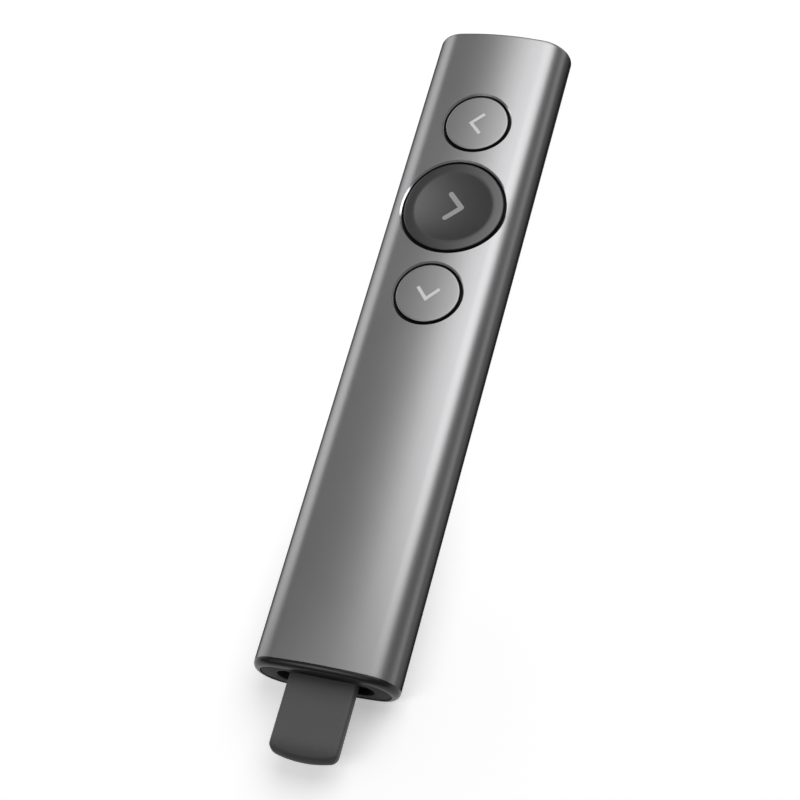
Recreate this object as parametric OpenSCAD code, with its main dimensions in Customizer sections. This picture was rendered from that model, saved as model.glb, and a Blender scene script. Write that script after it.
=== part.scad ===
// Handheld slide clicker: an oval metal barrel with three round buttons and a pull-out receiver in its base.
// Millimetres. X runs across the face, +Y to the closed end, +Z out of the button face; the back rests on Z = 0.

/* [Barrel] */
// length of the body from the base rim to the closed end
body_length = 135; // [128:0.1:145]
// width across the body
body_width = 26.8; // [26.4:0.1:30]
// thickness over the two crowned faces
body_thickness = 12.1; // [11.8:0.1:13]
// radius of the two long sides
side_radius = 5.4; // [4.8:0.1:5.6]
// wall of the metal barrel
wall = 1.0; // [0.8:0.05:1.1]
// thickness of the closed end
end_wall = 1.4; // [1.2:0.1:2.5]
// rounding of the edge round the closed end
end_fillet = 0.5; // [0.3:0.1:0.7]
// corner radius of the closed end seen from the front
corner_radius = 1.0; // [0.8:0.1:3]

/* [Base] */
// height of the gloss rim below the metal
rim_height = 1.3; // [1.25:0.05:2]
// rounding of the rim's outer edge
rim_round = 1.2; // [0.8:0.05:1.2]
// width of the rim seen from below
rim_width = 1.35; // [1.25:0.05:1.45]
// depth the base plate sits back from the end of the rim
plate_recess = 0.1; // [0.05:0.05:0.4]
// thickness of the base plate
plate_thickness = 1.35; // [1:0.05:1.4]
// how far the rim's tongue reaches into the barrel
tongue_depth = 4; // [3:0.5:6]

/* [Buttons] */
// centre of the middle button to the closed end
middle_from_end = 40.6; // [38:0.1:43]
// centre distance between neighbouring buttons
button_pitch = 19.2; // [18.5:0.1:20.5]
// radius of the two small caps
small_radius = 6.05; // [5.5:0.05:6.2]
// radius of the large middle cap
large_radius = 9.65; // [9:0.05:9.8]
// bevel round the edge of each button hole
hole_bevel = 0.3; // [0.15:0.05:0.4]
// gap round each cap
cap_gap = 0.5; // [0.35:0.05:0.6]
// how far the caps sit below the crown of the barrel
cap_sink = 0.08; // [0:0.02:0.2]
// radius of the hollow in the middle cap
dish_radius = 7.65; // [6.5:0.05:7.9]
// depth of that hollow
dish_depth = 1.1; // [0.9:0.05:1.3]
// travel of a pressed button
button_travel = 0.5; // [0.3:0.05:0.6]

/* [Receiver] */
// length of rubber tab that shows below the base
tab_out = 14.4; // [12:0.1:17]
// width of the tab
tab_width = 12.4; // [10.5:0.1:12.6]
// thickness of the tab
tab_thickness = 2.2; // [1.6:0.1:2.2]
// height of the tab's middle above the middle of the receiver
tab_lift = 1.0; // [0:0.1:1]
// rise of the curved tip
tab_bow = 1.0; // [0.5:0.1:1.6]
// corner radius of the tip
tab_corner = 1.6; // [1:0.1:2.2]
// whole length of the receiver with tab and plug
receiver_length = 40.8; // [38:0.1:43]
// width of the receiver's case
receiver_width = 17.4; // [16.8:0.1:18.4]
// thickness of the receiver's case over its plug
case_wall = 0.25; // [0.2:0.05:0.5]
// clearance round the receiver in the slot and bay
slide_gap = 0.2; // [0.12:0.02:0.24]

/* [Inside] */
// space between the charging socket and the battery
battery_gap = 11; // [1:0.5:14]
// width of the battery
battery_width = 16; // [12:0.5:16]
// thickness of the battery
battery_thickness = 2.7; // [2:0.1:2.8]
// thickness of the main board
board_thickness = 0.8; // [0.6:0.1:0.9]

/* [Hidden] */
$fn = 96;
eps = 0.01;
fit = 0.05;                                  // close fit between parts that don't move
mid_y = (body_length - tab_out) / 2;         // middle of the whole length, measured from the base rim
half_t = body_thickness / 2;
side_x = body_width / 2 - side_radius;       // axis of the side radius
crown = (side_x * side_x + half_t * half_t - side_radius * side_radius)
      / (body_thickness - 2 * side_radius);  // radius of the front and back faces
crown_drop = crown - half_t;                 // how far beyond the middle that radius has its axis
middle_y = body_length - middle_from_end;
top_y = middle_y + button_pitch;
low_y = middle_y - button_pitch;
lip = 0.6;                                   // how far a cap's flange reaches under the barrel
flange = 0.6;
board_top = 0.4;                             // board face above the mid-plane
switch_height = 1.4;
stem_bottom = board_top + switch_height + button_travel + 0.1;
plate_back = plate_recess + plate_thickness;
plug_end = receiver_length - tab_out;        // far end of the stored plug
case_front = plate_back - 0.2;               // face of the receiver's case inside the slot
case_end = plug_end - 11.8;
front_wall = 1.7;                            // of the case, that the tab passes through
shell_grip = 3;                              // how far the plug's shell reaches into the case
tab_edge = 0.6;                              // rounding of the tab's long edges
tab_top = tab_lift + tab_thickness / 2;
plug_width = 12;
plug_height = 4.5;
plug_wall = 0.3;
receiver_thickness = plug_height + 2 * case_wall;
bay_inset = 1.75;                            // bay's outside below the barrel's outside
bay_width = receiver_width + 2 * slide_gap + 1.9;
board_width = bay_width - 0.4;
port_mouth = plug_end + 0.5;
port_width = 8.94;
port_height = 3.26;
port_depth = 7.35;
bay_end = port_mouth + 3;
frame_end = body_length - end_wall - 1.4;
floor = 0.6;                                 // floor of the inner frame
pocket = board_width / 2 - 0.8;              // half width between the frame's rails
battery_y = port_mouth + port_depth + battery_gap;
lead_room = 5.2;                             // for the battery's leads, up to the middle switch
battery_length = middle_y - lead_room - battery_y;
shield_width = 12.5;
shield_length = 14;
shield_wall = 0.2;
shield_y = low_y - 26.5;                      // near edge of the radio shield
window = 2.2;                                // latch windows of the plug
window_x = 2.8;
window_from_end = 5.4;
port_tongue = 6.7;                           // width of the socket's tongue
motor_y = top_y + 7;
motor_radius = 4;
battery_z = 0.04 - face_z(wall + fit + floor, battery_width / 2);
dish_x = dish_depth - (crown - sqrt(crown * crown - dish_radius * dish_radius));
dish_rx = dish_radius * dish_radius / (2 * dish_x);
dish_ry = dish_radius * dish_radius / (2 * dish_depth);
dish_rz = 20;

// height of the barrel's face above the mid-plane, at x from the middle line and inset below the outside
function face_z(inset, x) = let(join = side_x + (side_radius - inset) * sin(atan2(side_x, crown_drop)))
    abs(x) < join ? sqrt(pow(crown - inset, 2) - x * x) - crown_drop
        : sqrt(pow(side_radius - inset, 2) - pow(abs(x) - side_x, 2));

// outline of the barrel's section, inset by a distance, with n steps to each of its four arcs
function rim_points(inset, n) = let(half = atan2(side_x, crown_drop))
    [for (q = [0, 1]) each concat(
        [for (i = [0 : n - 1]) let(a = 90 - half + 2 * half * i / n + 180 * q, f = q == 0 ? 1 : -1)
            [(crown - inset) * cos(a), (crown - inset) * sin(a) - f * crown_drop]],
        [for (i = [0 : n - 1]) let(a = 90 + half + (180 - 2 * half) * i / n + 180 * q, f = q == 0 ? -1 : 1)
            [f * side_x + (side_radius - inset) * cos(a), (side_radius - inset) * sin(a)]])];

// width left at height y by the corner radius of the closed end
function corner_factor(y) = let(u = max(0, y - body_length + corner_radius))
    1 - 2 * (corner_radius - sqrt(corner_radius * corner_radius - u * u)) / body_width;

module place() translate([0, -mid_y, half_t]) children();

// extrudes a section drawn in X and Z from y0 to y1
module bar(y0, y1) translate([0, y0, 0]) rotate([-90, 0, 0])
    linear_extrude(y1 - y0) mirror([0, 1]) children();

module box(x, y0, y1, z0, z1) translate([-x / 2, y0, z0]) cube([x, y1 - y0, z1 - z0]);

// the barrel's section, drawn inset by a distance
module oval(inset) polygon(rim_points(inset, 24));

module stadium(w, h) {
    square([w - h, h], center = true);
    for (s = [-1, 1]) translate([s * (w - h) / 2, 0]) circle(h / 2);
}

module round_square(w, h, r) {
    square([w - 2 * r, h], center = true);
    square([w, h - 2 * r], center = true);
    for (s = [-1, 1]) for (t = [-1, 1]) translate([s * (w / 2 - r), t * (h / 2 - r)]) circle(r);
}

// a length of the barrel's outside swept through rings, each given as [y, inset, width factor]
module soft_bar(rings, n = 16) polyhedron(
    points = [for (k = rings) for (p = rim_points(k[1], n)) [p[0] * k[2], k[0], p[1]]],
    faces = let(m = 4 * n) concat(
        [for (i = [0 : len(rings) - 2]) for (j = [0 : m - 1]) for (t = [0, 1])
            let(a = i * m + j, b = i * m + (j + 1) % m) t == 0 ? [a, b, b + m] : [a, b + m, a + m]],
        [[for (j = [m - 1 : -1 : 0]) j]],
        [[for (j = [0 : m - 1]) (len(rings) - 1) * m + j]]));

// hole through the front face; its edge is bevelled evenly all round although the face is crowned
module button_hole(y, r) {
    n = 72;
    inner = -0.4;
    outer = hole_bevel + 0.4;
    translate([0, y, 0]) cylinder(r = r, h = body_thickness);
    translate([0, y, 0]) polyhedron(
        points = concat(
            [for (t = [inner, outer]) for (i = [0 : n - 1]) let(a = 360 * i / n, x = (r + t) * cos(a))
                [x, (r + t) * sin(a), face_z(0, x) - hole_bevel + t]],
            [[0, 0, half_t - 3], [0, 0, half_t + 3]]),
        faces = concat(
            [for (i = [0 : n - 1]) let(j = (i + 1) % n) [i, i + n, j]],
            [for (i = [0 : n - 1]) let(j = (i + 1) % n) [j, i + n, j + n]],
            [for (i = [0 : n - 1]) [i, (i + 1) % n, 2 * n]],
            [for (i = [0 : n - 1]) [(i + 1) % n + n, i + n, 2 * n + 1]]));
}

module barrel() color("gainsboro") place() difference() {
    union() {
        bar(rim_height, body_length - corner_radius) oval(0);
        soft_bar([for (i = [-1 : 9]) i < 0 ? [body_length - corner_radius - 0.5, eps, 1]
            : let(y = body_length - end_fillet - (corner_radius - end_fillet) * (1 - i / 4))
            i < 4 ? [y, eps, corner_factor(y)]
            : let(a = 15 * (i - 3), z = body_length - end_fillet * (1 - sin(a)))
            [z, eps + end_fillet * (1 - cos(a)), corner_factor(z)]]);
    }
    bar(rim_height - 1, body_length - end_wall) oval(wall);
    button_hole(top_y, small_radius + cap_gap);
    button_hole(middle_y, large_radius + cap_gap);
    button_hole(low_y, small_radius + cap_gap);
}

// gloss rim that closes the open end and grips the base plate
module base_rim() color("dimgray") place() difference() {
    union() {
        soft_bar([for (i = [0 : 7]) i == 7 ? [rim_height, 0, 1]
            : [rim_round * (1 - cos(15 * i)), rim_round * (1 - sin(15 * i)), 1]]);
        bar(rim_height - 0.5, rim_height + tongue_depth) oval(wall + fit);
    }
    bar(-1, plate_back) oval(rim_width);
    bar(-1, rim_height + tongue_depth + 1) oval(wall + 0.65);
}

module base_plate() color("darkslategray") place() difference() {
    bar(plate_recess, plate_back) oval(rim_width + 0.1);
    bar(-1, plate_back + 1) stadium(receiver_width + 2 * slide_gap, receiver_thickness + 2 * slide_gap);
}

// guide behind the base plate that the receiver slides in
module receiver_bay() color("slategray") place() difference() {
    bar(plate_back, bay_end) intersection() {
        oval(bay_inset);
        square([bay_width, body_thickness], center = true);
    }
    bar(0, case_end + 0.3) stadium(receiver_width + 2 * slide_gap, receiver_thickness + 2 * slide_gap);
    bar(0, port_mouth) square([plug_width + 0.6, plug_height + 0.6], center = true);
    bar(0, bay_end + 1) round_square(port_width + 0.06, port_height + 0.06, 1.2);
}

// cap that follows the barrel's face, with a flange under the barrel wall and a stem over its switch
module cap(y, r) {
    flange_r = r + cap_gap + lip;
    flange_z = face_z(wall, r + cap_gap) - 0.1 - flange;
    intersection() {
        translate([0, y, flange_z + flange / 2]) cylinder(r = r, h = body_thickness);
        bar(y - r - 1, y + r + 1) oval(cap_sink);
    }
    intersection() {
        translate([0, y, flange_z]) cylinder(r = flange_r, h = body_thickness);
        bar(y - flange_r - 1, y + flange_r + 1) oval(wall + 0.1);
    }
    translate([0, y, stem_bottom]) cylinder(r = 1.6, h = flange_z + flange / 2 - stem_bottom);
}

module top_button_cap() color("silver") place() cap(top_y, small_radius);

module lower_button_cap() color("silver") place() cap(low_y, small_radius);

// dark cap with a hollow for the thumb
module middle_button_cap() color("gray") place() difference() {
    cap(middle_y, large_radius);
    translate([0, middle_y, half_t - cap_sink - dish_depth + dish_rz])
        scale([sqrt(dish_rx / dish_rz), sqrt(dish_ry / dish_rz), 1]) sphere(dish_rz);
}

module key_switch(y) place() {
    translate([0, y, 0]) box(4.5, -2.25, 2.25, board_top, board_top + switch_height - 0.4);
    translate([0, y, board_top]) cylinder(r = 1.1, h = switch_height);
}

module top_switch() color("gold") key_switch(top_y);

module middle_switch() color("gold") key_switch(middle_y);

module lower_switch() color("gold") key_switch(low_y);

// tray that lines the back of the barrel and carries board, battery and motor
module inner_frame() color("olivedrab") place() difference() {
    bar(bay_end, frame_end) difference() {
        intersection() {
            oval(wall + fit);
            translate([-body_width, -body_thickness]) square([2 * body_width, body_thickness + board_top - board_thickness]);
        }
        intersection() {
            oval(wall + fit + floor);
            square([2 * pocket, body_thickness], center = true);
        }
    }
    box(port_width + 0.4, bay_end - 1, port_mouth + port_depth + 0.3, -port_height / 2 - 0.1, half_t);
}

module main_board() color("green") place() difference() {
    box(board_width, bay_end + 0.2, frame_end - 2, board_top - board_thickness, board_top);
    box(port_width + 0.3, bay_end - 1, port_mouth + port_depth + 0.05, -half_t, half_t);
}

module radio_shield() color("lightsteelblue") place() difference() {
    box(shield_width, shield_y, shield_y + shield_length, board_top, board_top + 1.3);
    box(shield_width - 2 * shield_wall, shield_y + shield_wall, shield_y + shield_length - shield_wall,
        board_top - 1, board_top + 1.3 - shield_wall);
}

module battery_cell() color("steelblue") place()
    box(battery_width, battery_y, battery_y + battery_length, battery_z, battery_z + battery_thickness);

module battery_pad() color("khaki") place()
    box(battery_width - 3, battery_y + 2, battery_y + battery_length - 2,
        battery_z + battery_thickness, board_top - board_thickness);

// pair of leads from the end of the battery up to the board
module battery_leads() color("tomato") place() for (s = [-1, 1]) translate([s * 1.6, battery_y + battery_length, 0]) {
    translate([0, 0, battery_z + 1.2]) rotate([-90, 0, 0]) cylinder(r = 0.4, h = 3);
    translate([0, 3, battery_z + 1.2]) sphere(r = 0.4);
    translate([0, 3, battery_z + 1.2]) cylinder(r = 0.4, h = board_top - board_thickness - battery_z - 1.2);
}

module haptic_motor() color("lightgray") place()
    translate([0, motor_y, 0.03 - face_z(wall + fit + floor, motor_radius)]) cylinder(r = motor_radius, h = 2.7);

// charging socket at the back of the bay
module charge_port() color("lightsteelblue") place() difference() {
    bar(port_mouth, port_mouth + port_depth) round_square(port_width, port_height, 1.2);
    bar(port_mouth - 1, port_mouth + port_depth - 0.6)
        round_square(port_width - 0.6, port_height - 0.6, 0.95);
}

module charge_port_tongue() color("black") place() {
    box(port_tongue, port_mouth + 0.8, port_mouth + port_depth - 1.2, -0.35, 0.35);
    box(port_tongue + 0.3, port_mouth + port_depth - 1.9, port_mouth + port_depth - 0.6, -1.2, 1.2);
}

// aerial film laid on the bay, behind the plastic base
module aerial_film() color("peru") place() bar(rim_height + tongue_depth + 1, case_end + 4) intersection() {
    difference() {
        oval(bay_inset - 0.3);
        oval(bay_inset);
    }
    translate([-5, 0]) square([10, body_thickness]);
}

// plan of the tab: straight sides, a bowed tip and round corners
module tab_plan(root) {
    half = tab_width / 2;
    tip_r = (half * half + tab_bow * tab_bow) / (2 * tab_bow);
    tip_y = tip_r - tab_out;
    corner_x = half - tab_corner;
    reach = tip_r - tab_corner;
    corner_y = tip_y - sqrt(reach * reach - corner_x * corner_x);
    edge_x = corner_x * (tip_r + 1) / reach;
    edge_y = tip_y + (corner_y - tip_y) * (tip_r + 1) / reach;
    for (s = [-1, 1]) translate([s * corner_x, corner_y]) circle(tab_corner);
    intersection() {
        translate([0, tip_y]) circle(tip_r);
        polygon([[-half, root], [half, root], [half, corner_y], [corner_x, corner_y], [edge_x, edge_y],
                 [-edge_x, edge_y], [-corner_x, corner_y], [-half, corner_y]]);
    }
}

// side view of the tab: a long round on top of the tip and a short one below
module tab_side(root) {
    t = tab_thickness / 2;
    top_r = 1.9;
    low_r = 0.7;
    translate([top_r - tab_out, -t]) square([root + tab_out - top_r, 2 * t]);
    translate([low_r - tab_out, -t]) square([top_r, t]);
    translate([top_r - tab_out, t - top_r]) circle(top_r);
    translate([low_r - tab_out, low_r - t]) circle(low_r);
}

module receiver_tab() color("dimgray") place() {
    root = case_front + front_wall;
    translate([0, 0, tab_lift]) intersection() {
        translate([0, 0, -tab_thickness]) linear_extrude(2 * tab_thickness) tab_plan(root);
        bar(-tab_out - 1, root) round_square(tab_width, tab_thickness, tab_edge);
        translate([-tab_width, 0, 0]) rotate([90, 0, 90]) linear_extrude(2 * tab_width) tab_side(root);
    }
    box(receiver_width - 4.1, root, root + 1, -1.6, tab_top);
}

module receiver_case() color("darkslategray") place() difference() {
    bar(case_front, case_end) stadium(receiver_width, receiver_thickness);
    bar(case_front - 1, case_front + front_wall + 1) translate([0, tab_lift])
        round_square(tab_width, tab_thickness, tab_edge);
    box(receiver_width - 3.9, case_front + front_wall, case_end - shell_grip, -1.7, tab_top + 0.05);
    box(plug_width, case_end - shell_grip, case_end + 1, -plug_height / 2, plug_height / 2);
}

module plug_shell() color("lightgray") place() difference() {
    bar(case_end - shell_grip, plug_end) square([plug_width, plug_height], center = true);
    bar(case_end - shell_grip - 1, plug_end + 1) square([plug_width - 2 * plug_wall, plug_height - 2 * plug_wall], center = true);
    for (s = [-1, 1]) for (t = [-1, 1])
        translate([s * window_x, plug_end - window_from_end, t * plug_height / 2]) cube([window, window, 2], center = true);
}

module plug_carrier() color("white") place()
    box(plug_width - 2 * plug_wall - 0.1, case_end - 2.6, plug_end - 0.4, plug_wall - plug_height / 2, -0.95);

module receiver_board() color("green") place()
    box(plug_width - 2 * plug_wall - 0.5, case_front + 2.8, plug_end - 0.6, -0.95, -0.35);

module plug_contacts() color("gold") place() for (i = [-1.5, -0.5, 0.5, 1.5]) {
    long = abs(i) > 1 ? 8.6 : 7.6;
    translate([i * 2.3, 0, 0]) box(1, plug_end - 1 - long, plug_end - 1, -0.35, -0.25);
}

barrel();
base_rim();
base_plate();
receiver_bay();
top_button_cap();
middle_button_cap();
lower_button_cap();
top_switch();
middle_switch();
lower_switch();
inner_frame();
main_board();
radio_shield();
battery_cell();
battery_pad();
battery_leads();
haptic_motor();
charge_port();
charge_port_tongue();
aerial_film();
receiver_tab();
receiver_case();
plug_shell();
plug_carrier();
receiver_board();
plug_contacts();
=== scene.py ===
import math

import bmesh
import bpy
from mathutils import Matrix, Vector


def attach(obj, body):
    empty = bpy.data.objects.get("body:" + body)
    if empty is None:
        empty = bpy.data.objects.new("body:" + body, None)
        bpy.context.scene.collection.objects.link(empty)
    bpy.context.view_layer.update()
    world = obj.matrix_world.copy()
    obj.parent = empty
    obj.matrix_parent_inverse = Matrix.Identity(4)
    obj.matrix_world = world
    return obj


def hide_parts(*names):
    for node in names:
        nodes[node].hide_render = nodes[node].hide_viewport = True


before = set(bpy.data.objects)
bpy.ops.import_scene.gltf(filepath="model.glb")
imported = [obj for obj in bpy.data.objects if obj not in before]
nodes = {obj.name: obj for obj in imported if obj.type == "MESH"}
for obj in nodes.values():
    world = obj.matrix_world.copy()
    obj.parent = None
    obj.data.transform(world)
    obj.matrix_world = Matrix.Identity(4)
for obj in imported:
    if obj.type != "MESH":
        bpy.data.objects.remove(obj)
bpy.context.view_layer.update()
mm = 0.001

# driving sizes of the body, in millimetres; every outer piece shares the oval section
section = dict(width=26.8, thickness=12.1, sideRadius=5.4, length=135.0, tabOut=14.4,
               buttonsFromEnd=40.6, buttonPitch=19.2)
halfT = section["thickness"] / 2
sideX = section["width"] / 2 - section["sideRadius"]
# radius of the two crowned faces, which run smoothly into the round sides
crown = (sideX ** 2 + halfT ** 2 - section["sideRadius"] ** 2) / (2 * halfT - 2 * section["sideRadius"])
crownDrop = crown - halfT
faceTurn = math.atan2(sideX, crownDrop)    # half the arc of a crowned face
midY = (section["length"] - section["tabOut"]) / 2
topEnd = section["length"] - midY          # closed end
baseEnd = -midY                            # end of the gloss rim
tabEnd = baseEnd - section["tabOut"]       # free end of the pull tab
beyond = 1.0                               # how far cutters reach past what they cut
middleY = topEnd - section["buttonsFromEnd"]
buttonY = dict(top=middleY + section["buttonPitch"], middle=middleY, lower=middleY - section["buttonPitch"])
print("section: crown radius %.2f mm" % crown)


# height of the front face above the floor, and of a face that lies inset below it
def faceHeight(x, inset=0.0):
    side = section["sideRadius"] - inset
    join = sideX + side * math.sin(faceTurn)
    if abs(x) < join:
        return math.sqrt((crown - inset) ** 2 - x * x) - crownDrop + halfT
    return math.sqrt(max(side * side - (abs(x) - sideX) ** 2, 0)) + halfT


# turn runs 0..1 round the section; equal steps of turn give more points to the tight sides
def ovalPoint(turn, inset):
    share = 0.30                           # of the points, on each crowned face
    legs = [(share, 0), (0.5 - share, 1), (share, 2), (0.5 - share, 3)]
    for part, kind in legs:
        if turn < part or kind == 3:
            along = min(turn / part, 1)
            break
        turn -= part
    if kind in (0, 2):
        angle = math.pi / 2 - faceTurn + 2 * faceTurn * along + (math.pi if kind == 2 else 0)
        sign = 1 if kind == 0 else -1
        return (crown - inset) * math.cos(angle), (crown - inset) * math.sin(angle) - sign * crownDrop + halfT
    angle = math.pi / 2 + faceTurn + (math.pi - 2 * faceTurn) * along + (math.pi if kind == 3 else 0)
    sign = -1 if kind == 1 else 1
    side = section["sideRadius"] - inset
    return sign * sideX + side * math.cos(angle), side * math.sin(angle) + halfT


def freshStart():
    if bpy.context.object and bpy.context.object.mode != "OBJECT":
        bpy.ops.object.mode_set(mode="OBJECT")
    bpy.ops.object.select_all(action="DESELECT")


def named(name):
    piece = bpy.context.object
    piece.name = name
    piece.data.name = name
    return piece


def activate(piece):
    freshStart()
    piece.select_set(True)
    bpy.context.view_layer.objects.active = piece


def settle(piece, angle=30):
    activate(piece)
    bpy.ops.object.transform_apply(location=True, rotation=True, scale=True)
    bpy.ops.object.shade_smooth_by_angle(angle=math.radians(angle))
    bpy.ops.object.select_all(action="DESELECT")


def useModifier(piece, kind, **values):
    activate(piece)
    modifier = piece.modifiers.new(kind.title(), kind)
    for key, value in values.items():
        setattr(modifier, key, value)
    bpy.ops.object.modifier_apply(modifier=modifier.name)


# joins other pieces to this one, or cuts them out of it, and clears them away
def combine(piece, operation, *others):
    for other in others:
        useModifier(piece, "BOOLEAN", operation=operation, object=other, solver="EXACT")
        bpy.data.objects.remove(other)


# selects, in edit mode, the faces whose centre and normal pass the test
def pickFaces(piece, test):
    activate(piece)
    bpy.ops.object.mode_set(mode="EDIT")
    bpy.ops.mesh.select_mode(type="FACE")
    bpy.ops.mesh.select_all(action="DESELECT")
    mesh = bmesh.from_edit_mesh(piece.data)
    for face in mesh.faces:
        face.select = test(face.calc_center_median(), face.normal)
    mesh.select_flush(True)
    bmesh.update_edit_mesh(piece.data)


def moveVerts(piece, rule):
    for v in piece.data.vertices:
        v.co = rule(v.co)


def paintFaces(piece, slot, test):
    for face in piece.data.polygons:
        if test(face.center, face.normal):
            face.material_index = slot


def dress(piece, *materials):
    piece.data.materials.clear()
    for material in materials:
        piece.data.materials.append(material)


def newGroup(name, inputs, outputs):
    group = bpy.data.node_groups.new(name, "ShaderNodeTree")
    for label, kind, value in inputs:
        socket = group.interface.new_socket(label, in_out="INPUT", socket_type=kind)
        socket.default_value = value
    for label, kind in outputs:
        group.interface.new_socket(label, in_out="OUTPUT", socket_type=kind)
    return group, group.nodes.new("NodeGroupInput"), group.nodes.new("NodeGroupOutput")


def addNode(tree, kind, place, **values):
    node = tree.nodes.new(kind)
    node.location = place
    for key, value in values.items():
        setattr(node, key, value)
    return node


def mathNode(tree, operation, a, b, place, c=None, clamp=False):
    node = addNode(tree, "ShaderNodeMath", place, operation=operation, use_clamp=clamp)
    for index, value in enumerate((a, b, c)):
        if value is None:
            continue
        if isinstance(value, (int, float)):
            node.inputs[index].default_value = value
        else:
            tree.links.new(value, node.inputs[index])
    return node.outputs[0]


# takes a value from one level to another between two limits
def rampNode(tree, value, limits, levels, place):
    node = addNode(tree, "ShaderNodeMapRange", place, interpolation_type="SMOOTHSTEP")
    for label, number in zip(("From Min", "From Max", "To Min", "To Max"), (*limits, *levels)):
        node.inputs[label].default_value = number
    tree.links.new(value, node.inputs["Value"])
    return node.outputs["Result"]


# fine pits of a blasted or moulded surface, with slow cloudy change over the piece
def blastGrainGroup():
    group, source, sink = newGroup("blastGrain", [
        ("Vector", "NodeSocketVector", (0, 0, 0)), ("Scale", "NodeSocketFloat", 6000.0),
        ("Cloud Scale", "NodeSocketFloat", 60.0), ("Contrast", "NodeSocketFloat", 0.06),
        ("Roughness", "NodeSocketFloat", 0.4), ("Roughness Spread", "NodeSocketFloat", 0.05)],
        [("Shade", "NodeSocketFloat"), ("Roughness", "NodeSocketFloat"), ("Height", "NodeSocketFloat")])
    links = group.links
    fine = addNode(group, "ShaderNodeTexNoise", (-500, 200))
    fine.inputs["Detail"].default_value = 3
    cloud = addNode(group, "ShaderNodeTexNoise", (-500, -100))
    cloud.inputs["Detail"].default_value = 4
    links.new(source.outputs["Vector"], fine.inputs["Vector"])
    links.new(source.outputs["Vector"], cloud.inputs["Vector"])
    links.new(source.outputs["Scale"], fine.inputs["Scale"])
    links.new(source.outputs["Cloud Scale"], cloud.inputs["Scale"])
    fineOff = mathNode(group, "SUBTRACT", fine.outputs["Fac"], 0.5, (-280, 200))
    cloudOff = mathNode(group, "SUBTRACT", cloud.outputs["Fac"], 0.5, (-280, -100))
    both = mathNode(group, "ADD", fineOff, cloudOff, (-100, 100))
    swing = mathNode(group, "MULTIPLY", both, source.outputs["Contrast"], (60, 100))
    shade = mathNode(group, "ADD", swing, 1.0, (220, 100))
    rough = mathNode(group, "MULTIPLY_ADD", both, source.outputs["Roughness Spread"], (60, -120),
                     c=source.outputs["Roughness"], clamp=True)
    links.new(shade, sink.inputs["Shade"])
    links.new(rough, sink.inputs["Roughness"])
    links.new(fine.outputs["Fac"], sink.inputs["Height"])
    return group


# long faint streaks along one axis, as drawn or brushed metal has
def drawGrainGroup():
    group, source, sink = newGroup("drawGrain", [
        ("Vector", "NodeSocketVector", (0, 0, 0)), ("Across", "NodeSocketFloat", 4000.0),
        ("Along", "NodeSocketFloat", 40.0), ("Contrast", "NodeSocketFloat", 0.05)],
        [("Shade", "NodeSocketFloat")])
    links = group.links
    split = addNode(group, "ShaderNodeSeparateXYZ", (-700, 0))
    join = addNode(group, "ShaderNodeCombineXYZ", (-380, 0))
    links.new(source.outputs["Vector"], split.inputs[0])
    for axis, rate in (("X", "Across"), ("Y", "Along"), ("Z", "Across")):
        scaled = mathNode(group, "MULTIPLY", split.outputs[axis], source.outputs[rate], (-540, 0))
        links.new(scaled, join.inputs[axis])
    streak = addNode(group, "ShaderNodeTexNoise", (-220, 0))
    streak.inputs["Scale"].default_value = 1.0
    streak.inputs["Detail"].default_value = 2
    links.new(join.outputs[0], streak.inputs["Vector"])
    off = mathNode(group, "SUBTRACT", streak.outputs["Fac"], 0.5, (-40, 0))
    swing = mathNode(group, "MULTIPLY_ADD", off, source.outputs["Contrast"], (120, 0), c=1.0)
    links.new(swing, sink.inputs["Shade"])
    return group


blastGrain = blastGrainGroup()
drawGrain = drawGrainGroup()


# where the two painted shades begin and end, in millimetres: up or down from the middle, and along the tab
paintedShadeLimits = dict(paintedFlankShade=(2.0, 4.0), tip=(tabEnd, tabEnd + 4.2))
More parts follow.
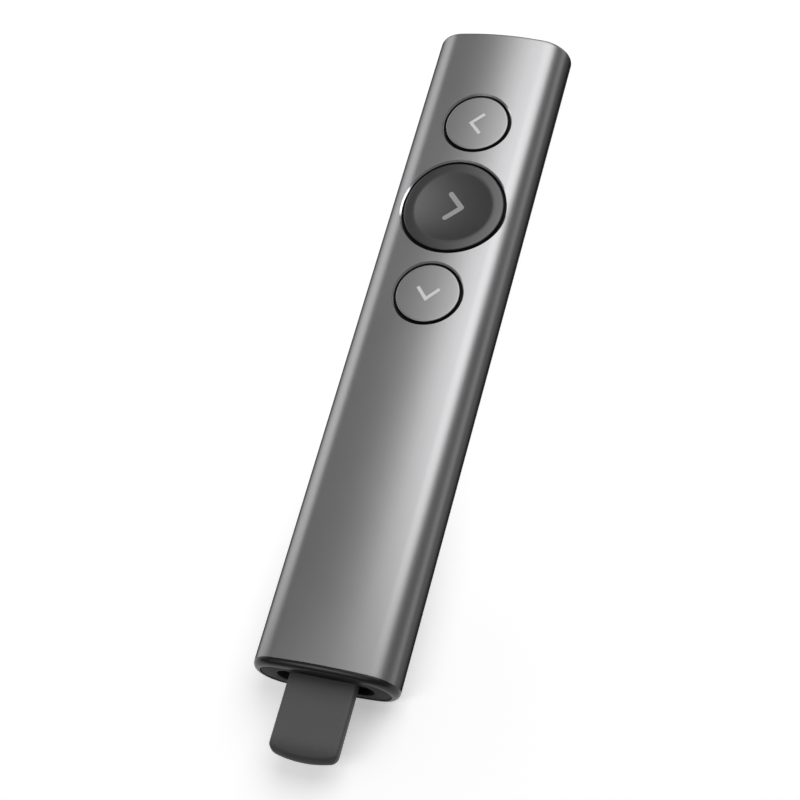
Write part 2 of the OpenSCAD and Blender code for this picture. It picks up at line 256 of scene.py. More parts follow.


# one finish: colour with grain and cloud, roughness that follows it, and a bump of its own size;
# flank and tip are painted shade: the shares of the colour left along the sides and at the free end of the
# pull tab
def finish(name, color, metallic=0.0, roughness=0.5, spread=0.05, contrast=0.06, grain=6000.0, cloud=60.0,
           bump=0.02, depth=0.02, coat=0.0, coatRoughness=0.1, specular=0.5, streaks=0.0, edgeTint=1.0,
           paintedFlankShade=1.0, tip=1.0):
    material = bpy.data.materials.new(name)
    material.use_nodes = True
    tree = material.node_tree
    shader = tree.nodes["Principled BSDF"]
    shader.inputs["Metallic"].default_value = metallic
    shader.inputs["Coat Weight"].default_value = coat
    shader.inputs["Coat Roughness"].default_value = coatRoughness
    shader.inputs["Specular IOR Level"].default_value = specular
    shader.inputs["Specular Tint"].default_value = (edgeTint, edgeTint, edgeTint, 1)
    place = addNode(tree, "ShaderNodeTexCoord", (-900, 0))
    grainNode = addNode(tree, "ShaderNodeGroup", (-650, 0), node_tree=blastGrain)
    tree.links.new(place.outputs["Object"], grainNode.inputs["Vector"])
    for label, value in (("Scale", grain), ("Cloud Scale", cloud), ("Contrast", contrast),
                         ("Roughness", roughness), ("Roughness Spread", spread)):
        grainNode.inputs[label].default_value = value
    shade = grainNode.outputs["Shade"]
    if streaks:
        streakNode = addNode(tree, "ShaderNodeGroup", (-650, -350), node_tree=drawGrain)
        tree.links.new(place.outputs["Object"], streakNode.inputs["Vector"])
        streakNode.inputs["Contrast"].default_value = streaks
        shade = mathNode(tree, "MULTIPLY", shade, streakNode.outputs["Shade"], (-420, -200))
    if paintedFlankShade < 1 or tip < 1:
        axes = addNode(tree, "ShaderNodeSeparateXYZ", (-900, -500))
        tree.links.new(place.outputs["Object"], axes.inputs[0])
    if paintedFlankShade < 1:
        # painted shade: a darker band along the middle of both sides, standing in for their dark reflection
        away = mathNode(tree, "SUBTRACT", axes.outputs["Z"], halfT * mm, (-720, -500))
        away = mathNode(tree, "ABSOLUTE", away, 0, (-560, -500))
        paintedFlankBand = rampNode(tree, away, [v * mm for v in paintedShadeLimits["paintedFlankShade"]], (paintedFlankShade, 1.0), (-400, -500))
        shade = mathNode(tree, "MULTIPLY", shade, paintedFlankBand, (-220, -420))
    if tip < 1:
        # painted shade: darker towards the free end of the pull tab
        limits = [v * mm for v in paintedShadeLimits["tip"]]
        paintedTipShade = rampNode(tree, axes.outputs["Y"], limits, (tip, 1.0), (-400, -700))
        shade = mathNode(tree, "MULTIPLY", shade, paintedTipShade, (-220, -620))
    base = addNode(tree, "ShaderNodeRGB", (-420, 250))
    base.outputs[0].default_value = (*color, 1)
    tint = addNode(tree, "ShaderNodeVectorMath", (-220, 200), operation="SCALE")
    tree.links.new(base.outputs[0], tint.inputs[0])
    tree.links.new(shade, tint.inputs["Scale"])
    tree.links.new(tint.outputs[0], shader.inputs["Base Color"])
    tree.links.new(grainNode.outputs["Roughness"], shader.inputs["Roughness"])
    bumpNode = addNode(tree, "ShaderNodeBump", (-220, -250))
    bumpNode.inputs["Strength"].default_value = bump
    bumpNode.inputs["Distance"].default_value = depth * mm
    tree.links.new(grainNode.outputs["Height"], bumpNode.inputs["Height"])
    tree.links.new(bumpNode.outputs[0], shader.inputs["Normal"])
    return material


looks = dict(
    # painted shade: the barrel's metal is darker along the middle of both sides
    barrelMetal=finish("barrelMetal", (0.43, 0.43, 0.437), metallic=1.0, roughness=0.36, spread=0.06,
                       contrast=0.07, grain=5200, cloud=45, bump=0.35, depth=0.02, streaks=0.04, edgeTint=0.1,
                       paintedFlankShade=0.25),
    cutEdge=finish("cutEdge", (0.74, 0.74, 0.75), metallic=1.0, roughness=0.2, contrast=0.03, grain=9000,
                   bump=0.1),
    capMetal=finish("capMetal", (0.40, 0.40, 0.405), metallic=1.0, roughness=0.42, spread=0.05,
                    contrast=0.05, grain=6000, cloud=120, bump=0.3, depth=0.015),
    darkCap=finish("darkCap", (0.112, 0.112, 0.113), metallic=1.0, roughness=0.42, contrast=0.06, grain=7000,
                   bump=0.25, depth=0.015),
    glossRim=finish("glossRim", (0.012, 0.012, 0.013), roughness=0.30, spread=0.04, contrast=0.1, grain=3000,
                    bump=0.05, specular=0.42),
    mattBlack=finish("mattBlack", (0.012, 0.012, 0.013), roughness=0.6, contrast=0.12, grain=4200, bump=0.4,
                     specular=0.2),
    innerPlastic=finish("innerPlastic", (0.05, 0.05, 0.052), roughness=0.6, contrast=0.1, grain=2500,
                        bump=0.3),
    # painted shade: the tab's rubber darkens towards its free end
    tabRubber=finish("tabRubber", (0.105, 0.105, 0.106), roughness=0.52, spread=0.08, contrast=0.1,
                     grain=5200, cloud=160, bump=0.4, depth=0.02, specular=0.42, tip=0.45),
    # painted shade: a darker copy of the tab's rubber, for its sides and underside
    tabSidePaintedShade=finish("tabSidePaintedShade", (0.04, 0.04, 0.041), roughness=0.5, spread=0.08, contrast=0.1, grain=5200,
                   cloud=160, bump=0.4, depth=0.02, specular=0.3),
    printLight=finish("printLight", (0.85, 0.85, 0.85), roughness=0.6, contrast=0.05, grain=8000, bump=0.1),
    printGrey=finish("printGrey", (0.42, 0.42, 0.422), roughness=0.6, contrast=0.05, grain=8000, bump=0.1),
    switchMetal=finish("switchMetal", (0.62, 0.62, 0.61), metallic=1.0, roughness=0.3, contrast=0.08,
                       streaks=0.1),
    boardGreen=finish("boardGreen", (0.015, 0.10, 0.05), roughness=0.35, contrast=0.25, grain=900, cloud=300,
                      coat=0.3, coatRoughness=0.15),
    tinnedSteel=finish("tinnedSteel", (0.62, 0.62, 0.60), metallic=1.0, roughness=0.28, contrast=0.1,
                       streaks=0.12),
    cellFoil=finish("cellFoil", (0.55, 0.57, 0.6), metallic=1.0, roughness=0.38, contrast=0.12, grain=1500,
                    bump=0.4),
    foamPad=finish("foamPad", (0.03, 0.03, 0.03), roughness=0.9, contrast=0.4, grain=1800, bump=1.0,
                   depth=0.1),
    leadSleeve=finish("leadSleeve", (0.45, 0.02, 0.015), roughness=0.4, contrast=0.1),
    aerialFilm=finish("aerialFilm", (0.35, 0.15, 0.04), roughness=0.35, contrast=0.15, grain=1200, coat=0.4),
    plugSteel=finish("plugSteel", (0.66, 0.66, 0.65), metallic=1.0, roughness=0.24, contrast=0.08,
                     streaks=0.1),
    whitePlastic=finish("whitePlastic", (0.66, 0.66, 0.64), roughness=0.4, contrast=0.05),
    goldPlate=finish("goldPlate", (0.83, 0.58, 0.22), metallic=1.0, roughness=0.22, contrast=0.06,
                     streaks=0.08),
)
print("materials:", len(looks))

cadFinish = dict(
    barrel="barrelMetal", base_rim="glossRim", base_plate="mattBlack", receiver_bay="innerPlastic",
    top_button_cap="capMetal", middle_button_cap="darkCap", lower_button_cap="capMetal",
    top_switch="switchMetal", middle_switch="switchMetal", lower_switch="switchMetal",
    inner_frame="innerPlastic", main_board="boardGreen", radio_shield="tinnedSteel", battery_cell="cellFoil",
    battery_pad="foamPad", battery_leads="leadSleeve", haptic_motor="tinnedSteel", charge_port="tinnedSteel",
    charge_port_tongue="mattBlack", aerial_film="aerialFilm", receiver_tab="tabRubber",
    receiver_case="mattBlack", plug_shell="plugSteel", plug_carrier="whitePlastic",
    receiver_board="boardGreen", plug_contacts="goldPlate")
for node, look in cadFinish.items():
    dress(nodes[node], looks[look])


barrelSettings = dict(points=240, wall=1.0, endWall=1.4, endFillet=0.5, corner=1.0, start=1.3, baseBreak=0.1,
                      bevel=0.3, cutOver=0.4, cutFacing=(0.3, 0.93), cutMargin=0.05, cornerCuts=6,
                      holes=dict(top=6.55, middle=10.15, lower=6.55), holePoints=180)


# share of the full width that is left near the rounded corners of the closed end
def cornerFactor(y):
    corner = barrelSettings["corner"]
    depth = min(max(0.0, y - topEnd + corner), corner)
    return 1 - 2 * (corner - math.sqrt(max(corner * corner - depth * depth, 0))) / section["width"]


# a plain round disc or pin that stands on one height and ends at another
def uprightDisc(name, y, radius, low, high, points):
    freshStart()
    bpy.ops.mesh.primitive_cylinder_add(vertices=points, radius=radius * mm, depth=(high - low) * mm,
                                        location=(0, y * mm, (low + high) / 2 * mm))
    piece = named(name)
    bpy.ops.object.transform_apply(location=True)
    return piece


# a closed bar of the oval section, from a plain cylinder laid along Y
def ovalBar(name, y0, y1, inset, points):
    freshStart()
    bpy.ops.mesh.primitive_cylinder_add(vertices=points, radius=section["width"] / 2 * mm,
                                        depth=(y1 - y0) * mm, location=(0, (y0 + y1) / 2 * mm, halfT * mm),
                                        rotation=(math.pi / 2, 0, 0))
    piece = named(name)
    bpy.ops.object.transform_apply(location=True, rotation=True, scale=True)

    def onSection(co):
        turn = (math.atan2(co.z - halfT * mm, co.x) / (2 * math.pi)) % 1
        # the cylinder's first point is taken to the right end of the front face
        x, z = ovalPoint(round(turn * points) / points % 1, inset)
        return Vector((x * mm, co.y, z * mm))
    moveVerts(piece, onSection)
    return piece


def cutAt(piece, heights):
    activate(piece)
    bpy.ops.object.mode_set(mode="EDIT")
    for y in heights:
        bpy.ops.mesh.select_all(action="SELECT")
        bpy.ops.mesh.bisect(plane_co=(0, y * mm, 0), plane_no=(0, 1, 0))
    bpy.ops.object.mode_set(mode="OBJECT")


# bevels the loop of edges that lies at one height along the piece
def edgeBevel(piece, y, offset, segments):
    activate(piece)
    bpy.ops.object.mode_set(mode="EDIT")
    bpy.ops.mesh.select_mode(type="EDGE")
    bpy.ops.mesh.select_all(action="DESELECT")
    mesh = bmesh.from_edit_mesh(piece.data)
    for edge in mesh.edges:
        edge.select = all(abs(v.co.y - y * mm) < 1e-6 for v in edge.verts)
    bmesh.update_edit_mesh(piece.data)
    bpy.ops.mesh.bevel(offset=offset * mm, segments=segments, profile=0.5, affect="EDGES")
    bpy.ops.object.mode_set(mode="OBJECT")


# a round cutter whose bevel follows the crowned face and ends a little above it
def holeCutter(name, y, radius):
    bevel, over = barrelSettings["bevel"], barrelSettings["cutOver"]
    low, step = halfT + 6.5, 2             # of the blank, before it is laid on the face
    piece = uprightDisc(name, y, radius, halfT + 0.5, low, barrelSettings["holePoints"])
    pickFaces(piece, lambda c, n: n.z > 0.9)
    widen = (radius + bevel + over) / radius
    bpy.ops.mesh.extrude_region_move()
    bpy.ops.transform.resize(value=(widen, widen, 1))
    bpy.ops.transform.translate(value=(0, 0, step * mm))
    bpy.ops.mesh.extrude_region_move()
    bpy.ops.transform.translate(value=(0, 0, step * mm))
    bpy.ops.object.mode_set(mode="OBJECT")
    rises = {low: -bevel, low + step: over}

    def follow(co):
        for height, rise in rises.items():
            if abs(co.z - height * mm) < 1e-6:
                return Vector((co.x, co.y, (faceHeight(co.x / mm) + rise) * mm))
        return co
    moveVerts(piece, follow)
    return piece


# the closed tube with its softly rounded end, hollowed from the base and drilled for the buttons
def barrelShell():
    sizes = barrelSettings
    start, corner = baseEnd + sizes["start"], sizes["corner"]
    piece = ovalBar("barrelShell", start, topEnd, 0, sizes["points"])
    edgeBevel(piece, topEnd, sizes["endFillet"], segments=8)
    edgeBevel(piece, start, sizes["baseBreak"], segments=3)
    step = (corner - sizes["endFillet"]) / sizes["cornerCuts"]
    cutAt(piece, [topEnd - corner + k * step for k in range(sizes["cornerCuts"])])
    moveVerts(piece, lambda co: Vector((co.x * cornerFactor(co.y / mm), co.y, co.z)))
    cavity = ovalBar("cavityCutter", start - beyond, topEnd - sizes["endWall"], sizes["wall"], points=120)
    holes = [holeCutter(key + "Hole", buttonY[key], radius) for key, radius in sizes["holes"].items()]
    combine(piece, "DIFFERENCE", cavity, *holes)
    settle(piece, angle=24)
    return piece


# true for the bright cut faces round the button holes
def nearHole(centre, normal):
    sizes = barrelSettings
    low, high = sizes["cutFacing"]
    for key, radius in sizes["holes"].items():
        away = math.hypot(centre.x / mm, centre.y / mm - buttonY[key]) - radius
        if -sizes["cutMargin"] < away < sizes["bevel"] + sizes["cutMargin"] and low < normal.z < high:
            return True
    return False


barrel = barrelShell()
dress(barrel, looks["barrelMetal"], looks["cutEdge"], looks["innerPlastic"])
paintFaces(barrel, 1, nearHole)
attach(barrel, "handset")
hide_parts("barrel")
print("barrel:", len(barrel.data.polygons), "faces")


capSettings = dict(
    small=dict(radius=6.05, gap=0.5, sink=0.08, edge=0.16, skirt=5.9),
    large=dict(radius=9.65, gap=0.5, sink=0.08, edge=0.2, skirt=8.5, dish=7.65, dishDepth=1.1,
               roomAround=0.2, roomBelow=0.25),
    flange=dict(gap=0.1, lip=0.6, height=0.6, under=1.1, stem=1.6, stemBottom=2.5, stemInto=0.5, points=96),
    points=144, edgeTurns=(22.5, 45, 67.5, 90), rings=22, centre=0.4, sideFacing=0.2, sideDepth=0.9)


# a disc with rings inset on its top, laid on the surface given for it, with a soft edge
def capDisc(name, y, settings, surface, bottom):
    radius, edge, rings = settings["radius"], settings["edge"], capSettings["rings"]
    top, height = halfT + 6, 2             # of the blank, before it is laid on the surface
    piece = uprightDisc(name, y, radius, top - height, top, capSettings["points"])
    pickFaces(piece, lambda c, n: n.z > 0.9)
    span = radius - edge - capSettings["centre"]
    widths = [edge * (1 - math.cos(math.radians(turn))) for turn in capSettings["edgeTurns"]]
    widths += [edge + span * (k / rings) for k in range(1, rings + 1)]
    previous = 0
    for width in widths:
        bpy.ops.mesh.inset(thickness=(width - previous) * mm, depth=0, use_even_offset=False)
        previous = width
    bpy.ops.object.mode_set(mode="OBJECT")

    def lay(co):
        x, dy = co.x / mm, co.y / mm - y
        if co.z < top * mm - 1e-6:
            return Vector((co.x, co.y, bottom * mm))
        inside = max(0.0, edge - (radius - math.hypot(x, dy)))
        drop = edge - math.sqrt(max(edge ** 2 - inside ** 2, 0))
        return Vector((co.x, co.y, (surface(x, dy) - drop) * mm))
    moveVerts(piece, lay)
    return piece


# the cap's disc with the flange that holds it under the barrel wall, and the stem over its switch
def buttonCap(name, y, settings, surface):
    sizes = capSettings["flange"]
    hole = settings["radius"] + settings["gap"]
    reach = hole + sizes["lip"]
    low = faceHeight(hole, barrelSettings["wall"]) - sizes["gap"] - sizes["height"]
    piece = capDisc(name, y, settings, surface, low + sizes["height"] / 2)
    flange = uprightDisc(name + "Flange", y, reach, low, 2 * halfT, sizes["points"])
    under = ovalBar(name + "Under", y - reach - beyond, y + reach + beyond, sizes["under"], points=160)
    combine(flange, "INTERSECT", under)
    if "dish" in settings:
        # room for the hollow above the flange
        dishFloor = 2 * halfT - settings["dishDepth"] - settings["roomBelow"]
        around = settings["dish"] + settings["roomAround"]
        hollow = uprightDisc(name + "Hollow", y, around, dishFloor, dishFloor + 2 * beyond, sizes["points"])
        combine(flange, "DIFFERENCE", hollow)
    stem = uprightDisc(name + "Stem", y, sizes["stem"], halfT + sizes["stemBottom"], low + sizes["stemInto"],
                       sizes["points"])
    combine(piece, "UNION", flange, stem)
    return piece


def smallSurface(x, dy):
    return faceHeight(x, capSettings["small"]["sink"])


def largeSurface(x, dy):
    sizes = capSettings["large"]
    base = faceHeight(x, sizes["sink"])
    share = math.hypot(x, dy) / sizes["dish"]
    return base - sizes["dishDepth"] * (1 - share * share) if share < 1 else base


# moves the inset ring nearest to the hollow's rim exactly onto it, so the rim is crisp
def snapDish(piece, y):
    sizes = capSettings["large"]
    dish = sizes["dish"]
    floorZ = (2 * halfT - 1.6) * mm        # just below the hollow's floor
    spread = {v.index: math.hypot(v.co.x / mm, v.co.y / mm - y) for v in piece.data.vertices
              if v.co.z > floorZ}
    near = min(sorted({round(d, 3) for d in spread.values()}), key=lambda d: abs(d - dish))
    for index, distance in spread.items():
        if abs(distance - near) < 0.01:
            v = piece.data.vertices[index]
            x, dy = v.co.x / mm * dish / distance, (v.co.y / mm - y) * dish / distance
            v.co = Vector((x * mm, (y + dy) * mm, faceHeight(x, sizes["sink"]) * mm))


caps = dict(
    top=buttonCap("topCap", buttonY["top"], capSettings["small"], smallSurface),
    lower=buttonCap("lowerCap", buttonY["lower"], capSettings["small"], smallSurface),
    middle=buttonCap("middleCap", buttonY["middle"], capSettings["large"], largeSurface))
snapDish(caps["middle"], buttonY["middle"])


markSettings = dict(
    thickness=0.1, lift=0.018, root=0.05, grid=0.4, gridSteps=8, blankZ=20,
    top=dict(tip=(-1.1, -0.1), ends=((0.9, 1.95), (0.9, -2.1)), stroke=0.64, sides=4, look="printLight"),
    middle=dict(tip=(1.45, 0.5), ends=((-1.15, 3.1), (-1.15, -2.15)), stroke=1.0, sides=40, look="printGrey"),
    lower=dict(tip=(0.0, -1.3), ends=((-1.9, 0.85), (1.9, 0.85)), stroke=0.64, sides=4, look="printLight"))


# a flat bar: half of a thin disc's points are carried to the other end; four sides give square ends
def strokeBar(name, start, end, width, y, sides):
    freshStart()
    place = (start[0] * mm, (start[1] + y) * mm, markSettings["blankZ"] * mm)
    run = Vector((end[0] - start[0], end[1] - start[1], 0))
    radius = width / 2 / math.cos(math.pi / sides) if sides == 4 else width / 2
    bpy.ops.mesh.primitive_cylinder_add(vertices=sides, radius=radius * mm, location=place,
                                        depth=markSettings["thickness"] * mm,
                                        rotation=(0, 0, math.atan2(run.y, run.x) + math.pi / 4))
    piece = named(name)
    bpy.ops.object.transform_apply(location=True, rotation=True)
    centre = Vector(place)
    moveVerts(piece, lambda co: co + run * mm if (co - centre).dot(run) > 1e-9 else co)
    return piece


# two strokes joined at the tip, cut into a grid so that they can lie on the cap's surface
def arrowMark(name, y, settings, surface):
    sizes = markSettings
    piece, second = [strokeBar(name, settings["tip"], end, settings["stroke"], y, settings["sides"])
                     for end in settings["ends"]]
    combine(piece, "UNION", second)
    activate(piece)
    bpy.ops.object.mode_set(mode="EDIT")
    for k in range(-sizes["gridSteps"], sizes["gridSteps"] + 1):
        step = k * sizes["grid"]
        for normal in ((1, 0, 0), (0, 1, 0)):
            bpy.ops.mesh.select_all(action="SELECT")
            bpy.ops.mesh.bisect(plane_co=(step * mm, (y + step) * mm, 0), plane_no=normal)
    bpy.ops.object.mode_set(mode="OBJECT")

    def lay(co):
        lift = sizes["lift"] if co.z > sizes["blankZ"] * mm else -sizes["root"]
        return Vector((co.x, co.y, (surface(co.x / mm, co.y / mm - y) + lift) * mm))
    moveVerts(piece, lay)
    return piece


surfaces = dict(top=smallSurface, lower=smallSurface, middle=largeSurface)
for key, body, node in (("top", "top_button", "top_button_cap"),
                        ("middle", "middle_button", "middle_button_cap"),
                        ("lower", "lower_button", "lower_button_cap")):
    cap = caps[key]
    skirt = capSettings["large" if key == "middle" else "small"]["skirt"]

    # true for the hidden sides, the flange and the stem; the matt black on the sides is painted shade for the
    # gap round the cap
    def underSkinAndGapShade(centre, normal):
        if normal.z < capSettings["sideFacing"]:
            return True
        away = math.hypot(centre.x, centre.y - buttonY[key] * mm)
        return centre.z < faceHeight(centre.x / mm, capSettings["sideDepth"]) * mm and away > skirt * mm
    settle(cap, angle=30)
    dress(cap, looks["darkCap" if key == "middle" else "capMetal"], looks["mattBlack"])
    # painted shade: matt black on the cap's sides darkens the gap round it
    paintFaces(cap, 1, underSkinAndGapShade)
    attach(cap, body)
    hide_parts(node)
    mark = arrowMark(key + "Mark", buttonY[key], markSettings[key], surfaces[key])
    settle(mark, angle=40)
    dress(mark, looks[markSettings[key]["look"]])
    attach(mark, body)
print("caps and marks done")


rimSettings = dict(points=240, height=1.3, round=1.2, width=1.35, ledge=1.45, tongueStart=0.8, tongue=4.0,
                   tongueInset=1.05, throat=1.65, throatEnd=8)


# the gloss ring below the metal, with the tongue that holds it inside the barrel
def baseRim():
    sizes = rimSettings
    piece = ovalBar("glossRim", baseEnd, baseEnd + sizes["height"], 0, sizes["points"])
    edgeBevel(piece, baseEnd, sizes["round"], segments=12)
    tongueEnd = baseEnd + sizes["height"] + sizes["tongue"]
    tongue = ovalBar("rimTongue", baseEnd + sizes["tongueStart"], tongueEnd, sizes["tongueInset"], points=120)
    mouth = ovalBar("rimMouth", baseEnd - beyond, baseEnd + sizes["ledge"], sizes["width"], points=160)
    throat = ovalBar("rimThroat", baseEnd - beyond, baseEnd + sizes["throatEnd"], sizes["throat"], points=120)
    combine(piece, "UNION", tongue)
    combine(piece, "DIFFERENCE", mouth, throat)
    settle(piece, angle=35)
    return piece


rim = baseRim()
dress(rim, looks["glossRim"])
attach(rim, "handset")
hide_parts("base_rim")
print("rim:", len(rim.data.polygons), "faces")


plateSettings = dict(points=200, front=0.1, back=1.45, inset=1.45, slotWidth=17.8, slotHeight=5.4, slotEnd=3,
                     edge=0.12)


# a bar with a stadium outline laid along Y
def stadiumBar(name, width, height, y0, y1, points):
    freshStart()
    bpy.ops.mesh.primitive_cylinder_add(vertices=points, radius=height / 2 * mm, depth=(y1 - y0) * mm,
                                        location=(0, (y0 + y1) / 2 * mm, halfT * mm),
                                        rotation=(math.pi / 2, 0, 0))
    piece = named(name)
    bpy.ops.object.transform_apply(location=True, rotation=True)
    shift = (width - height) / 2 * mm

    def widen(co):
        if abs(co.x) < 1e-7:
            return co
        return Vector((co.x + math.copysign(shift, co.x), co.y, co.z))
    moveVerts(piece, widen)
    return piece


# the plate inside the rim, with the receiver's slot
def basePlate():
    sizes = plateSettings
    front, slotEnd = baseEnd + sizes["front"], baseEnd + sizes["slotEnd"]
    piece = ovalBar("basePlate", front, baseEnd + sizes["back"], sizes["inset"], sizes["points"])
    slot = stadiumBar("slotCutter", sizes["slotWidth"], sizes["slotHeight"], baseEnd - beyond, slotEnd,
                      points=96)
    combine(piece, "DIFFERENCE", slot)
    edgeBevel(piece, front, sizes["edge"], segments=3)
    settle(piece, angle=35)
    return piece


plate = basePlate()
dress(plate, looks["mattBlack"])
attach(plate, "handset")
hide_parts("base_plate")
print("plate:", len(plate.data.polygons), "faces")


tabSettings = dict(width=12.4, thickness=2.2, lift=1.0, bow=1.0, corner=1.6, edge=0.5, tipTop=1.6,
                   tipLow=0.45, root=2.95, padInto=0.6, anchorWidth=13.3, anchorLength=1.0, anchorLow=1.6,
                   spine=4.5, spineRings=6)
tabRings = [0, 0.02, 0.07, 0.15, 0.25, 0.37, 0.5, 0.7, 0.9, 1.15, 1.4]
tabLegs = dict(right=14, rightCorner=12, tip=28, leftCorner=12, left=14, back=16)


# runs from 0 to 1 with level ends
def ease(share):
    return share * share * (3 - 2 * share)


# point of the tab's outline, inset by a distance, and how much of the tip's large round it has
def tabOutline(index, inset):
    sizes = tabSettings
    half, corner, back = sizes["width"] / 2, sizes["corner"], baseEnd + sizes["root"] + sizes["padInto"]
    tipR = (half * half + sizes["bow"] ** 2) / (2 * sizes["bow"])
    tipY = tabEnd + tipR
    reach, cornerX = tipR - corner, half - corner
    cornerY = tipY - math.sqrt(reach ** 2 - cornerX ** 2)
    lean = math.atan2(cornerX, tipY - cornerY)      # where the corner passes into the tip
    for leg, count in tabLegs.items():
        if index < count:
            break
        index -= count
    along = index / count
    bend = corner - inset
    if leg == "right":
        return half - inset, back - inset + (cornerY - back + inset) * along, 0.0
    if leg == "rightCorner":
        angle = -(math.pi / 2 - lean) * along
        return cornerX + bend * math.cos(angle), cornerY + bend * math.sin(angle), ease(along)
    if leg == "tip":
        angle = lean - 2 * lean * along
        return (tipR - inset) * math.sin(angle), tipY - (tipR - inset) * math.cos(angle), 1.0
    if leg == "leftCorner":
        angle = math.pi + (math.pi / 2 - lean) * (1 - along)
        return -cornerX + bend * math.cos(angle), cornerY + bend * math.sin(angle), ease(1 - along)
    if leg == "left":
        return inset - half, cornerY + (back - inset - cornerY) * along, 0.0
    return (inset - half) * (1 - 2 * along), back - inset, 0.0


# a thin disc of inset rings, each laid on the tab's outline at its own distance in from the edge
def tabPad():
    sizes = tabSettings
    count, inner = sum(tabLegs.values()), len(tabRings) - 1
    blank = dict(radius=10, step=0.3)      # of the round disc, before it is laid out
    freshStart()
    bpy.ops.mesh.primitive_cylinder_add(vertices=count, radius=blank["radius"] * mm, depth=2 * mm)
    piece = named("pullTab")
    for side in (1, -1):
        pickFaces(piece, lambda c, n: n.z * side > 0.9)
        for k in range(inner + sizes["spineRings"]):
            bpy.ops.mesh.inset(thickness=blank["step"] * mm, depth=0, use_even_offset=False)
        bpy.ops.object.mode_set(mode="OBJECT")
    radii = sorted({round(math.hypot(v.co.x, v.co.y) / mm, 2) for v in piece.data.vertices}, reverse=True)

    def lay(co):
        radius = math.hypot(co.x, co.y) / mm
        ring = min(range(len(radii)), key=lambda k: abs(radii[k] - radius))
        turn = math.atan2(co.x, co.y) / (2 * math.pi) % 1
        inset = tabRings[min(ring, inner)]
        x, y, tip = tabOutline(round(turn * count) % count, inset)
        share = max(0, ring - inner) / (sizes["spineRings"] + 1)
        spine = min(max(y, tabEnd + sizes["spine"]), baseEnd)
        x, y = x * (1 - share), y + (spine - y) * share
        up = co.z > 0
        edge = sizes["edge"] + ((sizes["tipTop"] if up else sizes["tipLow"]) - sizes["edge"]) * tip
        inside = max(0.0, edge - inset)
        z = sizes["thickness"] / 2 - edge + math.sqrt(max(edge * edge - inside * inside, 0))
        return Vector((x * mm, y * mm, (halfT + sizes["lift"] + (z if up else -z)) * mm))
    moveVerts(piece, lay)
    return piece


# the pad with the block that anchors it in the receiver's case
def pullTab():
    sizes = tabSettings
    piece = tabPad()
    low, high = halfT - sizes["anchorLow"], halfT + sizes["lift"] + sizes["thickness"] / 2
    freshStart()
    centreY = baseEnd + sizes["root"] + sizes["anchorLength"] / 2
    bpy.ops.mesh.primitive_cube_add(size=1 * mm, location=(0, centreY * mm, (low + high) / 2 * mm))
    anchor = named("tabAnchor")
    bpy.ops.transform.resize(value=(sizes["anchorWidth"], sizes["anchorLength"], high - low))
    bpy.ops.object.transform_apply(location=True, scale=True)
    combine(piece, "UNION", anchor)
    return piece


tab = pullTab()
settle(tab, angle=40)
dress(tab, looks["tabRubber"], looks["tabSidePaintedShade"])
# painted shade: the sides and underside take the darker copy of the rubber
paintFaces(tab, 1, lambda c, n: n.z < 0.5)
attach(tab, "receiver")
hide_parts("receiver_tab")
print("tab:", len(tab.data.polygons), "faces")


# in metres: where the card turns from lit to glowing, and where it fades to a painted grey shade beyond the
# view
floorSettings = dict(size=24, baseColour=0.95, baseGlow=0.40, colour=0.16, glow=0.93, paintedFarShade=0.6,
                     baseLimits=(-0.055, -0.010), rightAim=(1, 0.169, 0), rightLimits=(0.074, 0.30),
                     frontAim=(0.207, -1, 0), frontLimits=(0.082, 0.30))


# white card that keeps the shadow by the base; it fades to painted grey shade beyond the right and the front
# of the view, which darkens its reflection in the metal
def floorMaterial():
    values = floorSettings
    material = bpy.data.materials.new("paleFloor")
    material.use_nodes = True
    tree = material.node_tree
    tree.nodes.clear()
    out = addNode(tree, "ShaderNodeOutputMaterial", (600, 0))
    place = addNode(tree, "ShaderNodeTexCoord", (-1300, 200))

    # runs from one level to another along a direction on the floor
    def fade(aim, limits, levels, spot):
        along = addNode(tree, "ShaderNodeVectorMath", (spot[0] - 200, spot[1]), operation="DOT_PRODUCT")
        along.inputs[1].default_value = aim
        tree.links.new(place.outputs["Object"], along.inputs[0])
        return rampNode(tree, along.outputs["Value"], limits, levels, spot)
    right = fade(values["rightAim"], values["rightLimits"], (1.0, values["paintedFarShade"]), (-700, 400))
    front = fade(values["frontAim"], values["frontLimits"], (1.0, values["paintedFarShade"]), (-700, 160))
    # painted shade: colour and glow both fall to grey beyond the right and the front
    near = mathNode(tree, "MULTIPLY", right, front, (-500, 300))
    colour = fade((0, 1, 0), values["baseLimits"], (values["baseColour"], values["colour"]), (-700, -80))
    glowLevel = fade((0, 1, 0), values["baseLimits"], (values["baseGlow"], values["glow"]), (-700, -320))
    colour = mathNode(tree, "MULTIPLY", colour, near, (-340, 40))
    glowLevel = mathNode(tree, "MULTIPLY", glowLevel, near, (-340, -120))
    card = addNode(tree, "ShaderNodeBsdfDiffuse", (-160, 100))
    tree.links.new(colour, card.inputs["Color"])
    path = addNode(tree, "ShaderNodeLightPath", (-900, -300))
    seen = mathNode(tree, "MAXIMUM", path.outputs["Is Camera Ray"], path.outputs["Is Glossy Ray"],
                    (-520, -300))
    seen = mathNode(tree, "MAXIMUM", seen, path.outputs["Is Transmission Ray"], (-360, -300))
    level = mathNode(tree, "MULTIPLY", seen, glowLevel, (0, -200))
    glow = addNode(tree, "ShaderNodeEmission", (160, -100))
    glow.inputs["Color"].default_value = (1, 1, 1, 1)
    tree.links.new(level, glow.inputs["Strength"])
    add = addNode(tree, "ShaderNodeAddShader", (400, 0))
    tree.links.new(card.outputs[0], add.inputs[0])
    tree.links.new(glow.outputs[0], add.inputs[1])
    tree.links.new(add.outputs[0], out.inputs[0])
    return material


freshStart()
bpy.ops.mesh.primitive_plane_add(size=floorSettings["size"], location=(0, 0, 0))
floor = named("paleFloor")
dress(floor, floorMaterial())

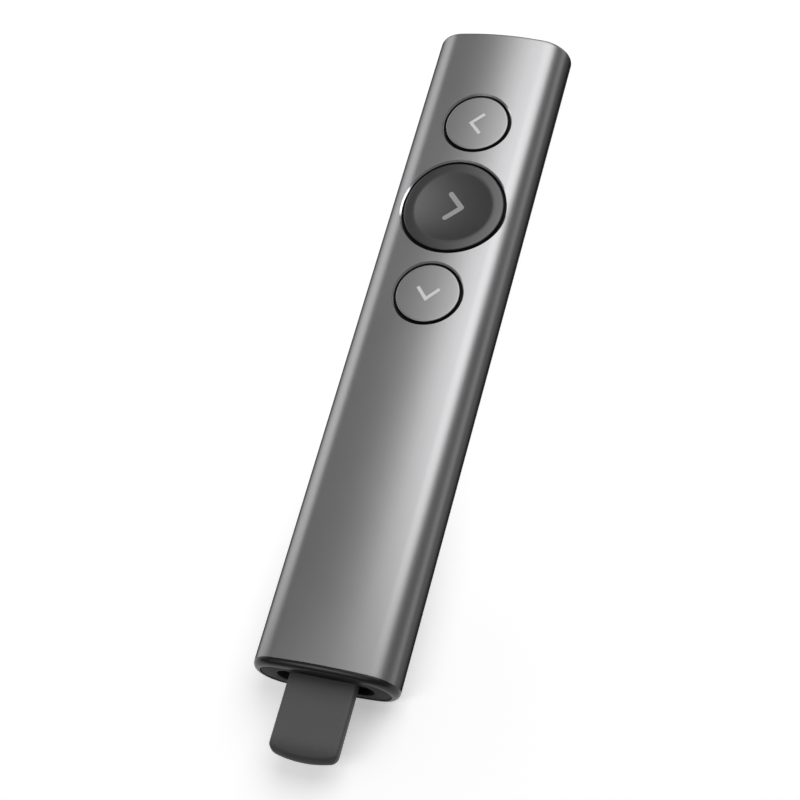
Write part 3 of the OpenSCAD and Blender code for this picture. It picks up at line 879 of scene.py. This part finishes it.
lightSettings = dict(
    overhead=dict(aim=(0.27, 0.45, 0.85), distance=0.70, size=(0.58, 0.70), power=2.30),
    leftEdge=dict(aim=(-0.87, 0.41, 0.22), distance=0.50, size=(0.30, 0.45), power=0.45),
    frontFill=dict(aim=(-0.28, -0.52, 0.81), distance=0.60, size=(0.24, 0.20), power=0.55))


def softbox(name, aim, distance, size, power, target=(0, 0, 0.006)):
    data = bpy.data.lights.new(name, "AREA")
    data.shape = "RECTANGLE"
    data.size, data.size_y = size
    data.energy = power
    lamp = bpy.data.objects.new(name, data)
    bpy.context.scene.collection.objects.link(lamp)
    direction = Vector(aim).normalized()
    lamp.location = Vector(target) + direction * distance
    side = Vector((0, 1, 0)).cross(direction).normalized()
    lamp.rotation_euler = Matrix((side, direction.cross(side), direction)).transposed().to_euler()
    return lamp


for name, values in lightSettings.items():
    softbox(name + "Light", **values)

# the even light of the studio, and its soft patches: direction each lies in, how tight and how bright it is
studioSettings = dict(level=0.12, patches=[((-0.5, 0.4, 0.77), 3.0, 0.075), ((0.20, 0.43, 0.88), 8.0, 0.28)])


def studioWorld():
    world = bpy.data.worlds.new("studio")
    world.use_nodes = True
    tree = world.node_tree
    background = tree.nodes["Background"]
    background.inputs["Color"].default_value = (1, 1, 1, 1)
    coords = addNode(tree, "ShaderNodeTexCoord", (-900, 0))
    total = studioSettings["level"]
    for index, (aim, power, level) in enumerate(studioSettings["patches"]):
        y = -200 * index
        dot = addNode(tree, "ShaderNodeVectorMath", (-650, y), operation="DOT_PRODUCT")
        dot.inputs[1].default_value = Vector(aim).normalized()
        tree.links.new(coords.outputs["Generated"], dot.inputs[0])
        facing = mathNode(tree, "MAXIMUM", dot.outputs["Value"], 0.0, (-460, y))
        lobe = mathNode(tree, "POWER", facing, power, (-300, y))
        total = mathNode(tree, "MULTIPLY_ADD", lobe, level, (-140, y), c=total)
    tree.links.new(total, background.inputs["Strength"])
    return world


bpy.context.scene.world = studioWorld()

# place in millimetres, turn in degrees
cameraSettings = dict(place=(103.35, -149.34, 314.63), turn=(27.89, 11.634, 15.052), lens=87.15, nearest=10)
cameraData = bpy.data.cameras.new("camera")
cameraData.lens = cameraSettings["lens"]
cameraData.clip_start = cameraSettings["nearest"] * mm
camera = bpy.data.objects.new("camera", cameraData)
bpy.context.scene.collection.objects.link(camera)
camera.location = [v * mm for v in cameraSettings["place"]]
camera.rotation_euler = [math.radians(v) for v in cameraSettings["turn"]]
bpy.context.scene.camera = camera
bpy.context.scene.view_settings.view_transform = "Standard"
print("stage, light and camera set")
